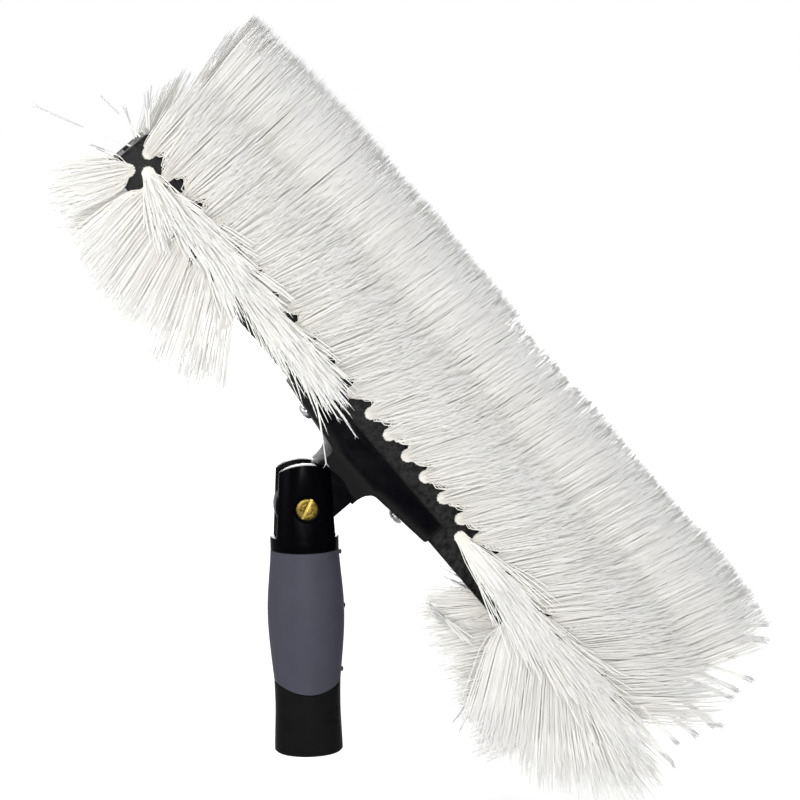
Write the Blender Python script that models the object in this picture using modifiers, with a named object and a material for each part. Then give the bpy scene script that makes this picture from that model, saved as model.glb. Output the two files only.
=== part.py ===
import math

import bmesh
import bpy
from mathutils import Matrix, Vector

# Sizes in metres. The handle stands along +Z with the socket mouth at the origin.
# The head is drawn in its own frame: X along the block, Y across it, Z towards the bristle front.

# Running and seating gaps
SEAT_GAP = 0.0003
HOLE_GAP = 0.0003
TONGUE_GAP = 0.0008

# Head position
PIVOT_HEIGHT = 0.114
HEAD_TILT = math.radians(51)

# Handle contour, read as heights and radii of a turned body
FOOT_RADIUS = 0.0156
FOOT_ROUND = 0.0009
WAIST_HEIGHT = 0.022
WAIST_RADIUS = 0.01495
BULGE_HEIGHT = 0.065
BULGE_RADIUS = 0.0176
SHOULDER_DROP = 0.002
COLLAR_RADIUS = 0.0156
COLLAR_HEIGHT = 0.0057
COLLAR_CHAMFER = 0.0004
CORE_RADIUS = 0.0132
CONTOUR_STEPS = 14

# Pole socket, a taper open at the foot
SOCKET_MOUTH_RADIUS = 0.011
SOCKET_END_RADIUS = 0.0102
SOCKET_DEPTH = 0.068
SOCKET_LEAD = 0.0012
SOCKET_POINT = 0.004

# Wavy seam where the grip meets the lower body
SEAM_HEIGHT = 0.0307
SEAM_WAVE = 0.0023
SEAM_REACH = 0.009

# Clevis ears
EAR_TIP_RADIUS = 0.02
EAR_FOOT_HALF_WIDTH = 0.0135
EAR_TIP_HALF_WIDTH = 0.0117
EAR_TIP_BODY_RADIUS = 0.0139
EAR_ROOT_SINK = 0.003
EAR_INSET = 0.00003

# Tongue of the bracket
TONGUE_THICKNESS = 0.012
TONGUE_HALF_WIDTH = 0.0123
TONGUE_END_RADIUS = 0.0134

# Pivot screw and its nut
PIVOT_SCREW_RADIUS = 0.003
PIVOT_HEAD_RADIUS = 0.005
PIVOT_HEAD_HEIGHT = 0.003
PIVOT_HEAD_ROUND = 0.0005
PIVOT_RECESS_RADIUS = 0.0063
SLOT_WIDTH = 0.0013
SLOT_DEPTH = 0.0013
SLOT_TURN = math.radians(62)
NUT_ACROSS_FLATS = 0.01
NUT_HEIGHT = 0.005
FAR_WALL = 0.0033

# Brush block
BLOCK_LENGTH = 0.35
BLOCK_WIDTH = 0.036
BLOCK_THICKNESS = 0.0235
BLOCK_ROUND = 0.0018
BLOCK_BACK = 0.0321
NUB_RADIUS = 0.0014
NUB_HEIGHT = 0.0008

# Bracket saddle
SADDLE_HALF_LENGTH = 0.0465
ARM_END_THICKNESS = 0.0013
ARM_END_ROUND = 0.0011
ARM_SLOPE = math.radians(6.5)
ARM_FILLET = 0.0045
CHEEK_THICKNESS = 0.003
CHEEK_HEIGHT = 0.0094
CHEEK_ROUND = 0.0008
CHEEK_END_INSET = 0.0032
NECK_HALF_WIDTH = 0.0115
FLANK_START = 0.0195
FLANK_END = 0.0305
FLANK_CURVE = 0.55

# Blend that rolls the saddle's back over into its cheeks
BLEND_WIDTH = 0.0042
BLEND_DEPTH = 0.0095
BLEND_OVERSHOOT = 0.0002

# Bracket screws
SADDLE_SCREW_INSET = 0.0145
SADDLE_SCREW_RADIUS = 0.00175
SADDLE_SCREW_LENGTH = 0.018
PAN_HEAD_RADIUS = 0.004
PAN_HEAD_HEIGHT = 0.0024
SPOT_FACE_RADIUS = 0.0047
SPOT_FACE_FLOOR = 0.0033

# Tuft rows. Heights are measured from the block's back
TUFT_PITCH = 0.01275
PATTERN_OFFSET = -0.0023
STAGGER = 0.5
ROW_END_MARGIN = 0.0065
FACE_ROW_INSET = 0.0075
EDGE_ROW_HEIGHT = 0.0178
SIDE_ROW_HEIGHT = 0.0122
BACK_ROW_HEIGHT = 0.0062
SIDE_ROW_CLEARANCE = 0.008
BACK_ROW_LENGTH = 0.07
SLICE_DEPTH = 0.003
FACE_SLICE_WIDTH = 0.007
SIDE_SLICE_WIDTH = 0.0046
SLICE_MARGIN = 0.004

# Strands. A lean is the sideways travel for each unit of reach
STRAND_SIDES = 3
STRAND_ROOT_RADIUS = 0.001
STRAND_TIP_RADIUS = 0.0017
STRAND_SINK = 0.0022
ROOT_SPACING = 0.0024
FACE_STRAND_LENGTH = 0.076
EDGE_STRAND_LENGTH = 0.068
SIDE_STRAND_LENGTH = 0.06
BACK_STRAND_LENGTH = 0.058
FACE_ROW_SPLAY = math.radians(30)
EDGE_ROW_SPLAY = math.radians(62)
UPPER_END_LEAN = math.tan(math.radians(9))
LOWER_END_LEAN = math.tan(math.radians(8))
END_LEAN_POWER = 3
SIDE_ROW_LEAN = 0.46
SIDE_ROW_BACK_LEAN = 0.07
FACE_STRAND_COUNT = 2
SIDE_STRAND_COUNT = 3

# Back rows, each from its upper to its lower end: sideways leans, and degrees turned back from straight out
NEAR_UPPER_LEANS, NEAR_UPPER_TURNS = (-0.22, 0.56), (30, 54)
NEAR_LOWER_LEANS, NEAR_LOWER_TURNS = (0.45, 0.45), (54, 10)
FAR_UPPER_LEANS, FAR_UPPER_TURNS = (-0.38, -0.5), (30, 48)
FAR_LOWER_LEANS, FAR_LOWER_TURNS = (-0.12, -0.14), (28, 54)

# Facets of round shapes
TURN_STEPS = 48
SCREW_STEPS = 24
ARC_STEPS = 10
BLEND_STEPS = 6
ROUND_STEPS = 3
DOME_STEPS = 5


def clear_scene():
    for obj in list(bpy.data.objects):
        bpy.data.objects.remove(obj, do_unlink=True)


def new_collection(name):
    collection = bpy.data.collections.new(name)
    bpy.context.scene.collection.children.link(collection)
    return collection


def new_material(name, colour, roughness, metallic=0.0):
    material = bpy.data.materials.new(name)
    material.use_nodes = True
    shader = material.node_tree.nodes["Principled BSDF"]
    shader.inputs["Base Color"].default_value = (*colour, 1.0)
    shader.inputs["Roughness"].default_value = roughness
    shader.inputs["Metallic"].default_value = metallic
    return material


def place(mesh, name, collection, parent=None):
    obj = bpy.data.objects.new(name, mesh)
    collection.objects.link(obj)
    obj.parent = parent
    if collection is CUTTERS:
        obj.hide_render = True
        obj.display_type = "WIRE"
    return obj


def evaluated_mesh(obj):
    bpy.context.view_layer.update()
    graph = bpy.context.evaluated_depsgraph_get()
    return bpy.data.meshes.new_from_object(obj.evaluated_get(graph))


def apply_modifiers(obj):
    mesh = evaluated_mesh(obj)
    obj.modifiers.clear()
    obj.data = mesh


def combine(obj, other, operation):
    boolean = obj.modifiers.new(operation.title(), "BOOLEAN")
    boolean.operation = operation
    boolean.object = other
    boolean.solver = "EXACT"


def finish(obj, material, smooth_angle=math.radians(32)):
    apply_modifiers(obj)
    obj.data.materials.clear()
    obj.data.materials.append(material)
    obj.data.shade_smooth()
    obj.data.set_sharp_from_angle(angle=smooth_angle)


def turned(name, profile, collection, closed=False, steps=TURN_STEPS, parent=None):
    """Turn (radius, height) points, listed down the outer side, about Z."""
    mesh = bpy.data.meshes.new(name)
    points = [(radius, 0.0, height) for radius, height in profile]
    edges = [(i, i + 1) for i in range(len(points) - 1)]
    if closed:
        edges.append((len(points) - 1, 0))
    mesh.from_pydata(points, edges, [])
    obj = place(mesh, name, collection, parent)
    screw = obj.modifiers.new("Turn", "SCREW")
    screw.axis = "Z"
    screw.steps = steps
    screw.render_steps = steps
    screw.use_merge_vertices = True
    screw.merge_threshold = 0.00001
    apply_modifiers(obj)
    return obj


def extruded(name, outline, half_depth, collection, turn, parent=None):
    """Extrude a flat outline both ways. The turn stands its XY plane where it belongs."""
    curve = bpy.data.curves.new(name, "CURVE")
    curve.dimensions = "2D"
    curve.fill_mode = "BOTH"
    curve.extrude = half_depth
    spline = curve.splines.new("POLY")
    spline.points.add(len(outline) - 1)
    for point, (across, up) in zip(spline.points, outline):
        point.co = (across, up, 0.0, 1.0)
    spline.use_cyclic_u = True
    drawn = bpy.data.objects.new(name + "_outline", curve)
    collection.objects.link(drawn)
    mesh = evaluated_mesh(drawn)
    bpy.data.objects.remove(drawn, do_unlink=True)
    mesh.transform(turn)
    shape = bmesh.new()
    shape.from_mesh(mesh)
    bmesh.ops.remove_doubles(shape, verts=shape.verts, dist=0.000001)
    bmesh.ops.recalc_face_normals(shape, faces=shape.faces)
    shape.to_mesh(mesh)
    shape.free()
    return place(mesh, name, collection, parent)


def lofted(name, rings, collection, parent=None):
    """Join closed rings of equal length into one solid with capped ends."""
    shape = bmesh.new()
    loops = [[shape.verts.new(point) for point in ring] for ring in rings]
    shape.faces.new(loops[0])
    shape.faces.new(loops[-1])
    for low, high in zip(loops, loops[1:]):
        for i in range(len(low)):
            shape.faces.new((low[i - 1], low[i], high[i], high[i - 1]))
    bmesh.ops.triangulate(shape, faces=shape.faces)
    bmesh.ops.recalc_face_normals(shape, faces=shape.faces)
    mesh = bpy.data.meshes.new(name)
    shape.to_mesh(mesh)
    shape.free()
    return place(mesh, name, collection, parent)


def box(name, low, high, collection, parent=None):
    shape = bmesh.new()
    size = Vector(high) - Vector(low)
    middle = (Vector(high) + Vector(low)) / 2
    matrix = Matrix.Translation(middle) @ Matrix.Diagonal((*size, 1.0))
    bmesh.ops.create_cube(shape, size=1.0, matrix=matrix)
    mesh = bpy.data.meshes.new(name)
    shape.to_mesh(mesh)
    shape.free()
    return place(mesh, name, collection, parent)


def rod(name, radius, start, end, collection, sides=SCREW_STEPS, parent=None):
    """A prism or cylinder from one point to another."""
    start, end = Vector(start), Vector(end)
    turn = (end - start).to_track_quat("Z", "X").to_matrix().to_4x4()
    shape = bmesh.new()
    bmesh.ops.create_cone(
        shape,
        cap_ends=True,
        segments=sides,
        radius1=radius,
        radius2=radius,
        depth=(end - start).length,
        matrix=Matrix.Translation((start + end) / 2) @ turn,
    )
    mesh = bpy.data.meshes.new(name)
    shape.to_mesh(mesh)
    shape.free()
    return place(mesh, name, collection, parent)


def arc(centre, radius, start, end, steps=ARC_STEPS):
    """Points on an arc, with angles measured from +X towards the second axis."""
    angles = [start + (end - start) * i / steps for i in range(steps + 1)]
    return [(centre[0] + radius * math.cos(a), centre[1] + radius * math.sin(a)) for a in angles]


def fillet(before, corner, after, radius, steps=ARC_STEPS):
    """Round the corner between two straight edges."""
    into = (Vector(before) - Vector(corner)).normalized()
    out = (Vector(after) - Vector(corner)).normalized()
    half = into.angle(out) / 2
    centre = Vector(corner) + (into + out).normalized() * (radius / math.sin(half))
    first = Vector(corner) + into * (radius / math.tan(half)) - centre
    last = Vector(corner) + out * (radius / math.tan(half)) - centre
    start = math.atan2(first.y, first.x)
    sweep = math.atan2(first.cross(last), first.dot(last))
    return arc(centre, radius, start, start + sweep, steps)


def smooth_step(share):
    return 0.5 - 0.5 * math.cos(math.pi * share)


def handle_radius(height):
    """Outer contour of the foot, the waist, the grip's bulge and the collar."""
    if height <= WAIST_HEIGHT:
        share = smooth_step((WAIST_HEIGHT - height) / WAIST_HEIGHT)
        return WAIST_RADIUS + (FOOT_RADIUS - WAIST_RADIUS) * share
    if height <= BULGE_HEIGHT:
        share = smooth_step((height - WAIST_HEIGHT) / (BULGE_HEIGHT - WAIST_HEIGHT))
        return WAIST_RADIUS + (BULGE_RADIUS - WAIST_RADIUS) * share
    share = smooth_step(min(1.0, (height - BULGE_HEIGHT) / (SHOULDER_HEIGHT - BULGE_HEIGHT)))
    return BULGE_RADIUS + (COLLAR_RADIUS - BULGE_RADIUS) * share


def contour(top, bottom, steps=CONTOUR_STEPS):
    heights = [top + (bottom - top) * i / steps for i in range(steps + 1)]
    return [(handle_radius(height), height) for height in heights]


def wave_seam(obj):
    """Bend the level seam so that it dips at the front and back of the handle."""
    for vertex in obj.data.vertices:
        radius = math.hypot(vertex.co.x, vertex.co.y)
        near = 1 - abs(vertex.co.z - SEAM_HEIGHT) / SEAM_REACH
        if radius < CORE_RADIUS - SEAT_GAP or near <= 0:
            continue
        around = math.atan2(vertex.co.y, vertex.co.x)
        vertex.co.z += SEAM_WAVE * math.cos(2 * around) * smooth_step(near)


def handle_shell():
    lower_seam = SEAM_HEIGHT - SEAT_GAP / 2
    profile = [(0.0, COLLAR_TOP)]
    profile += [(COLLAR_RADIUS - COLLAR_CHAMFER, COLLAR_TOP)]
    profile += [(COLLAR_RADIUS, COLLAR_TOP - COLLAR_CHAMFER)]
    profile += [(COLLAR_RADIUS, COLLAR_BASE)]
    profile += [(CORE_RADIUS, COLLAR_BASE)]
    profile += [(CORE_RADIUS, lower_seam)]
    profile += contour(lower_seam, FOOT_ROUND)
    profile += [(FOOT_RADIUS - FOOT_ROUND, 0.0)]
    profile += [(SOCKET_MOUTH_RADIUS + SOCKET_LEAD, 0.0)]
    profile += [(SOCKET_MOUTH_RADIUS, SOCKET_LEAD)]
    profile += [(SOCKET_END_RADIUS, SOCKET_DEPTH)]
    profile += [(0.0, SOCKET_DEPTH + SOCKET_POINT)]
    shell = turned("handle_body", profile, PARTS)
    wave_seam(shell)
    return shell


def ear_stock():
    """Both ears as one block: a tapering round body cut to an arched side outline."""
    tip = PIVOT_HEIGHT + EAR_TIP_RADIUS
    root = COLLAR_TOP - EAR_ROOT_SINK
    body = [(0.0, tip + EAR_ROOT_SINK), (EAR_TIP_BODY_RADIUS, tip + EAR_ROOT_SINK)]
    body += [(COLLAR_RADIUS - EAR_INSET, COLLAR_TOP), (COLLAR_RADIUS - EAR_INSET, root), (0.0, root)]
    ears = turned("ear_stock", body, CUTTERS)
    corner = math.acos(EAR_TIP_HALF_WIDTH / EAR_TIP_RADIUS)
    outline = [(-EAR_FOOT_HALF_WIDTH, root), (EAR_FOOT_HALF_WIDTH, root)]
    outline += arc((0.0, PIVOT_HEIGHT), EAR_TIP_RADIUS, corner, math.pi - corner, 2 * ARC_STEPS)
    side = extruded("ear_outline", outline, 2 * COLLAR_RADIUS, CUTTERS, STAND_UP)
    combine(ears, side, "INTERSECT")
    apply_modifiers(ears)
    return ears


def ear_face(height):
    """How far the ears' outer face stands from the handle's axis at this height."""
    share = (height - COLLAR_TOP) / (PIVOT_HEIGHT + EAR_TIP_RADIUS - COLLAR_TOP)
    return COLLAR_RADIUS + (EAR_TIP_BODY_RADIUS - COLLAR_RADIUS) * share


def make_handle_body():
    shell = handle_shell()
    combine(shell, ear_stock(), "UNION")
    half_slot = TONGUE_THICKNESS / 2 + SEAT_GAP
    reach = 2 * COLLAR_RADIUS
    low = (-reach, -half_slot, COLLAR_TOP)
    high = (reach, half_slot, PIVOT_HEIGHT + 2 * EAR_TIP_RADIUS)
    combine(shell, box("clevis_slot", low, high, CUTTERS), "DIFFERENCE")
    cross = (0.0, reach, PIVOT_HEIGHT)
    hole = rod("pivot_hole", PIVOT_SCREW_RADIUS + HOLE_GAP, (0.0, -reach, PIVOT_HEIGHT), cross, CUTTERS)
    combine(shell, hole, "DIFFERENCE")
    recess_floor = (0.0, SCREW_SEAT, PIVOT_HEIGHT)
    recess = rod("head_recess", PIVOT_RECESS_RADIUS, (0.0, -reach, PIVOT_HEIGHT), recess_floor, CUTTERS)
    combine(shell, recess, "DIFFERENCE")
    pocket_radius = NUT_ACROSS_FLATS / 2 / math.cos(math.pi / 6) + HOLE_GAP
    pocket = rod("nut_pocket", pocket_radius, (0.0, NUT_SEAT, PIVOT_HEIGHT), cross, CUTTERS, sides=6)
    combine(shell, pocket, "DIFFERENCE")
    finish(shell, BLACK_PLASTIC)


def make_grip_sleeve():
    low = SEAM_HEIGHT + SEAT_GAP / 2
    high = COLLAR_BASE - SEAT_GAP
    inner = CORE_RADIUS + SEAT_GAP
    profile = contour(high, low, 2 * CONTOUR_STEPS) + [(inner, low), (inner, high)]
    sleeve = turned("grip_sleeve", profile, PARTS, closed=True)
    wave_seam(sleeve)
    finish(sleeve, SOFT_GRIP)


def make_pivot_screw():
    """Slotted cheese head on the near side, its shank through both ears and the tongue."""
    head_top = PIVOT_HEAD_HEIGHT
    shank_end = SCREW_SEAT - SEAT_GAP - (NUT_SEAT + SEAT_GAP + NUT_HEIGHT)
    profile = [(0.0, head_top), (PIVOT_HEAD_RADIUS - PIVOT_HEAD_ROUND, head_top)]
    profile += [(PIVOT_HEAD_RADIUS, head_top - PIVOT_HEAD_ROUND), (PIVOT_HEAD_RADIUS, 0.0)]
    profile += [(PIVOT_SCREW_RADIUS, 0.0), (PIVOT_SCREW_RADIUS, shank_end + PIVOT_HEAD_ROUND)]
    profile += [(PIVOT_SCREW_RADIUS - PIVOT_HEAD_ROUND, shank_end), (0.0, shank_end)]
    screw = turned("pivot_screw", profile, PARTS, steps=SCREW_STEPS)
    reach = 2 * PIVOT_HEAD_RADIUS
    low = (-reach, -SLOT_WIDTH / 2, head_top - SLOT_DEPTH)
    slot = box("screw_slot", low, (reach, SLOT_WIDTH / 2, reach), CUTTERS)
    slot.data.transform(Matrix.Rotation(SLOT_TURN, 4, "Z"))
    combine(screw, slot, "DIFFERENCE")
    apply_modifiers(screw)
    screw.rotation_euler = (math.pi / 2, 0.0, 0.0)
    screw.location = (0.0, SCREW_SEAT - SEAT_GAP, PIVOT_HEIGHT)
    finish(screw, BRASS)


def make_pivot_nut():
    start = (0.0, NUT_SEAT + SEAT_GAP, PIVOT_HEIGHT)
    end = (0.0, NUT_SEAT + SEAT_GAP + NUT_HEIGHT, PIVOT_HEIGHT)
    corner_radius = NUT_ACROSS_FLATS / 2 / math.cos(math.pi / 6)
    nut = rod("pivot_nut", corner_radius, start, end, PARTS, sides=6)
    reach = 2 * COLLAR_RADIUS
    bore_start = (0.0, 0.0, PIVOT_HEIGHT)
    bore = rod("nut_bore", PIVOT_SCREW_RADIUS + HOLE_GAP, bore_start, (0.0, reach, PIVOT_HEIGHT), CUTTERS)
    combine(nut, bore, "DIFFERENCE")
    finish(nut, ZINC_STEEL)


def arm_back(along):
    """Height of the saddle's sloping back at this distance from the middle."""
    end_height = BLOCK_BACK - SEAT_GAP - ARM_END_THICKNESS
    return end_height - (SADDLE_HALF_LENGTH - along) * math.tan(ARM_SLOPE)


def bracket_side(share):
    """Side outline of tongue, fillets and tapering arms, drawn in by a share of the blend."""
    inset = BLEND_DEPTH * share
    width = TONGUE_HALF_WIDTH - inset
    end = SADDLE_HALF_LENGTH - CHEEK_END_INSET * share
    rim = BLOCK_BACK + CHEEK_HEIGHT
    half = arc((0.0, 0.0), TONGUE_END_RADIUS, -math.pi / 2, -math.acos(width / TONGUE_END_RADIUS))[1:]
    corner = (width, arm_back(width) + inset)
    arm_end = (end, arm_back(end) + inset)
    half += fillet(half[-1], corner, arm_end, ARM_FILLET + inset)
    half += fillet(corner, arm_end, (end, rim), ARM_END_ROUND, ROUND_STEPS)
    half += [(end, rim)]
    mirrored = [(-across, up) for across, up in reversed(half)]
    return [(0.0, -TONGUE_END_RADIUS)] + half + mirrored


def bracket_stock(wide):
    """The side outline carried across the bracket, its back rolled over into both cheeks."""
    flat = wide + BLEND_OVERSHOOT - BLEND_WIDTH
    rings = []
    for i in range(BLEND_STEPS + 1):
        turn = math.pi / 2 * i / BLEND_STEPS
        depth = flat + BLEND_WIDTH * math.sin(turn)
        outline = bracket_side(1 - math.cos(turn))
        rings.append([(along, depth, up) for along, up in outline])
        rings.insert(0, [(along, -depth, up) for along, up in outline])
    return lofted("bracket", rings, PARTS, HEAD)


def bracket_section(wide):
    """Cross section: a narrow neck that swells into the rounded flanks of the saddle."""
    rim = BLOCK_BACK + CHEEK_HEIGHT
    half = [(NECK_HALF_WIDTH, -2 * TONGUE_END_RADIUS)]
    for i in range(ARC_STEPS + 1):
        share = i / ARC_STEPS
        height = FLANK_START + (FLANK_END - FLANK_START) * share
        swell = (1 - FLANK_CURVE) * smooth_step(share) + FLANK_CURVE * math.sin(math.pi / 2 * share)
        half.append((NECK_HALF_WIDTH + (wide - NECK_HALF_WIDTH) * swell, height))
    half += fillet((wide, FLANK_END), (wide, rim), (0.0, rim), CHEEK_ROUND, ROUND_STEPS)
    return half + [(-across, up) for across, up in reversed(half)]


def make_bracket():
    wide = BLOCK_WIDTH / 2 + SEAT_GAP + CHEEK_THICKNESS
    bracket = bracket_stock(wide)
    length = 2 * SADDLE_HALF_LENGTH
    section = extruded("bracket_section", bracket_section(wide), length, CUTTERS, FACE_ALONG, HEAD)
    combine(bracket, section, "INTERSECT")
    for side in (-1, 1):
        inner = (0.0, side * TONGUE_THICKNESS / 2, 0.0)
        outer = (0.0, side * 2 * wide, 0.0)
        step = rod("neck_step", EAR_TIP_RADIUS + TONGUE_GAP, inner, outer, CUTTERS, TURN_STEPS, HEAD)
        combine(bracket, step, "DIFFERENCE")
    channel_half = BLOCK_WIDTH / 2 + SEAT_GAP
    low = (-length, -channel_half, BLOCK_BACK - SEAT_GAP)
    high = (length, channel_half, 2 * BLOCK_BACK)
    combine(bracket, box("saddle_channel", low, high, CUTTERS, HEAD), "DIFFERENCE")
    pivot_radius = PIVOT_SCREW_RADIUS + HOLE_GAP
    hole = rod("tongue_hole", pivot_radius, (0.0, -wide, 0.0), (0.0, wide, 0.0), CUTTERS, parent=HEAD)
    combine(bracket, hole, "DIFFERENCE")
    for side in (-1, 1):
        start = (side * SADDLE_SCREW_OFFSET, 0.0, 0.0)
        face = (side * SADDLE_SCREW_OFFSET, 0.0, SCREW_FACE)
        through = (side * SADDLE_SCREW_OFFSET, 0.0, BLOCK_BACK + CHEEK_HEIGHT)
        spot = rod("spot_face", SPOT_FACE_RADIUS, start, face, CUTTERS, parent=HEAD)
        combine(bracket, spot, "DIFFERENCE")
        hole_radius = SADDLE_SCREW_RADIUS + HOLE_GAP
        clearance = rod("screw_clearance", hole_radius, start, through, CUTTERS, parent=HEAD)
        combine(bracket, clearance, "DIFFERENCE")
    finish(bracket, BLACK_PLASTIC)


def make_bracket_screw(name, along):
    """Pan head resting on its spot face, shank running into the block."""
    dome = arc((0.0, 0.0), 1.0, math.pi / 2, 0.0, DOME_STEPS)
    profile = [(PAN_HEAD_RADIUS * across, PAN_HEAD_HEIGHT * up) for across, up in dome]
    profile[0] = (0.0, PAN_HEAD_HEIGHT)
    profile += [(SADDLE_SCREW_RADIUS, 0.0), (SADDLE_SCREW_RADIUS, -SADDLE_SCREW_LENGTH)]
    profile += [(0.0, -SADDLE_SCREW_LENGTH - SADDLE_SCREW_RADIUS)]
    screw = turned(name, profile, PARTS, steps=SCREW_STEPS // 2, parent=HEAD)
    screw.rotation_euler = (math.pi, 0.0, 0.0)
    screw.location = (along, 0.0, SCREW_FACE - SEAT_GAP)
    finish(screw, ZINC_STEEL)


def row_holes(first, last, shift):
    """Hole centres on the shared pitch, between two distances along the block."""
    start = PATTERN_OFFSET + shift * TUFT_PITCH
    low = math.ceil((first - start) / TUFT_PITCH)
    high = math.floor((last - start) / TUFT_PITCH)
    return [start + k * TUFT_PITCH for k in range(low, high + 1)]


def between(limits, share):
    return limits[0] + (limits[1] - limits[0]) * share


def face_row(name, side, shift):
    """A full row on the block's front, splayed towards one side."""
    reach = BLOCK_LENGTH / 2 - ROW_END_MARGIN
    splay = side * FACE_ROW_SPLAY
    return {
        "name": name,
        "face": "front",
        "middle": side * (BLOCK_WIDTH / 2 - FACE_ROW_INSET),
        "width": FACE_SLICE_WIDTH,
        "holes": row_holes(-reach, reach, shift),
        "aim": lambda along, share: (end_lean(along), math.sin(splay), math.cos(splay)),
        "length": FACE_STRAND_LENGTH,
        "strands": FACE_STRAND_COUNT,
    }


def edge_row(name, side):
    """A full row in one side of the block, raked forwards."""
    reach = BLOCK_LENGTH / 2 - ROW_END_MARGIN
    outward = side * math.sin(EDGE_ROW_SPLAY)
    return {
        "name": name,
        "face": side,
        "middle": BLOCK_BACK + EDGE_ROW_HEIGHT,
        "width": SIDE_SLICE_WIDTH,
        "holes": row_holes(-reach, reach, 0.0),
        "aim": lambda along, share: (end_lean(along), outward, math.cos(EDGE_ROW_SPLAY)),
        "length": EDGE_STRAND_LENGTH,
        "strands": FACE_STRAND_COUNT,
    }


def side_row(name, side, end):
    """A short row pointing straight out of one side, between the saddle and one end."""
    reach = BLOCK_LENGTH / 2 - ROW_END_MARGIN
    first, last = sorted((end * (SADDLE_HALF_LENGTH + SIDE_ROW_CLEARANCE), end * reach))
    lean = -side * SIDE_ROW_LEAN
    return {
        "name": name,
        "face": side,
        "middle": BLOCK_BACK + SIDE_ROW_HEIGHT,
        "width": SIDE_SLICE_WIDTH,
        "holes": row_holes(first, last, STAGGER),
        "aim": lambda along, share: (lean, side, -SIDE_ROW_BACK_LEAN),
        "length": SIDE_STRAND_LENGTH,
        "strands": SIDE_STRAND_COUNT,
    }


def back_row(name, side, end, leans, turns):
    """A short row at one end that fans out past the block's back."""
    reach = BLOCK_LENGTH / 2 - ROW_END_MARGIN
    first, last = sorted((end * (reach - BACK_ROW_LENGTH), end * reach))

    def aim(along, share):
        turn = math.radians(between(turns, share))
        return between(leans, share), side * math.cos(turn), -math.sin(turn)

    return {
        "name": name,
        "face": side,
        "middle": BLOCK_BACK + BACK_ROW_HEIGHT,
        "width": SIDE_SLICE_WIDTH,
        "holes": row_holes(first, last, 0.0),
        "aim": aim,
        "length": BACK_STRAND_LENGTH,
        "strands": SIDE_STRAND_COUNT,
    }


def end_lean(along):
    """Sideways lean of the full rows, growing towards the block's two ends."""
    share = along / (BLOCK_LENGTH / 2)
    most = UPPER_END_LEAN if share < 0 else LOWER_END_LEAN
    return math.copysign(abs(share) ** END_LEAN_POWER, share) * most


def strip(row, grow=0.0, proud=0.0):
    """Low and high corners of the strip of backing that carries a row."""
    start = row["holes"][0] - SLICE_MARGIN - grow
    end = row["holes"][-1] + SLICE_MARGIN + grow
    low = row["middle"] - row["width"] / 2 - grow
    high = row["middle"] + row["width"] / 2 + grow
    depth = SLICE_DEPTH - SEAT_GAP + grow
    if row["face"] == "front":
        front = BLOCK_BACK + BLOCK_THICKNESS
        return (start, low, front - depth), (end, high, front + proud)
    side = row["face"]
    inner, outer = sorted((side * (BLOCK_WIDTH / 2 - depth), side * (BLOCK_WIDTH / 2 + proud)))
    return (start, inner, low), (end, outer, high)


def add_strand(shape, root, aim, length):
    """One thick strand: a slim prism that widens from its root to its tip."""
    direction = Vector(aim).normalized()
    turn = direction.to_track_quat("Z", "X").to_matrix().to_4x4()
    middle = Vector(root) + direction * (length - STRAND_SINK) / 2
    bmesh.ops.create_cone(
        shape,
        cap_ends=True,
        segments=STRAND_SIDES,
        radius1=STRAND_ROOT_RADIUS,
        radius2=STRAND_TIP_RADIUS,
        depth=length + STRAND_SINK,
        matrix=Matrix.Translation(middle) @ turn,
    )


def row_strands(row):
    """All strands of a row, each tuft fanned evenly over its share of the pitch."""
    shape = bmesh.new()
    count = row["strands"]
    spread = (TUFT_PITCH / count - ROOT_SPACING) / row["length"]
    for index, hole in enumerate(row["holes"]):
        share = index / (len(row["holes"]) - 1)
        for strand in range(count):
            offset = strand - (count - 1) / 2
            along = hole + offset * ROOT_SPACING
            aim = Vector(row["aim"](hole, share)).normalized() + Vector((offset * spread, 0.0, 0.0))
            if row["face"] == "front":
                root = (along, row["middle"], BLOCK_BACK + BLOCK_THICKNESS)
            else:
                root = (along, row["face"] * BLOCK_WIDTH / 2, row["middle"])
            add_strand(shape, root, aim, row["length"])
    mesh = bpy.data.meshes.new(row["name"] + "_strands")
    shape.to_mesh(mesh)
    shape.free()
    return place(mesh, row["name"] + "_strands", CUTTERS, HEAD)


def make_bristle_row(row):
    backing = box(row["name"], *strip(row), PARTS, HEAD)
    combine(backing, row_strands(row), "UNION")
    finish(backing, WHITE_NYLON)


def make_brush_block(rows):
    """Moulded bar with a strip cut out for each row and two screw holes in its back."""
    half = BLOCK_LENGTH / 2
    low = (-half, -BLOCK_WIDTH / 2, BLOCK_BACK)
    high = (half, BLOCK_WIDTH / 2, BLOCK_BACK + BLOCK_THICKNESS)
    block = box("brush_block", low, high, PARTS, HEAD)
    rounding = block.modifiers.new("Rounding", "BEVEL")
    rounding.width = BLOCK_ROUND
    rounding.segments = ROUND_STEPS
    apply_modifiers(block)
    for side in (-1, 1):
        start = (side * (half - NUB_RADIUS), 0.0, BLOCK_BACK + BLOCK_THICKNESS / 2)
        end = (side * (half + NUB_HEIGHT), 0.0, BLOCK_BACK + BLOCK_THICKNESS / 2)
        combine(block, rod("end_nub", NUB_RADIUS, start, end, CUTTERS, ARC_STEPS, HEAD), "UNION")
    for row in rows:
        groove = box(row["name"] + "_groove", *strip(row, SEAT_GAP, SLICE_DEPTH), CUTTERS, HEAD)
        combine(block, groove, "DIFFERENCE")
    for side in (-1, 1):
        along = side * SADDLE_SCREW_OFFSET
        floor = SCREW_FACE + SADDLE_SCREW_LENGTH + 2 * SADDLE_SCREW_RADIUS
        radius = SADDLE_SCREW_RADIUS + HOLE_GAP
        hole = rod("pilot_hole", radius, (along, 0.0, 0.0), (along, 0.0, floor), CUTTERS, parent=HEAD)
        combine(block, hole, "DIFFERENCE")
    finish(block, BLOCK_PLASTIC)


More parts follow.
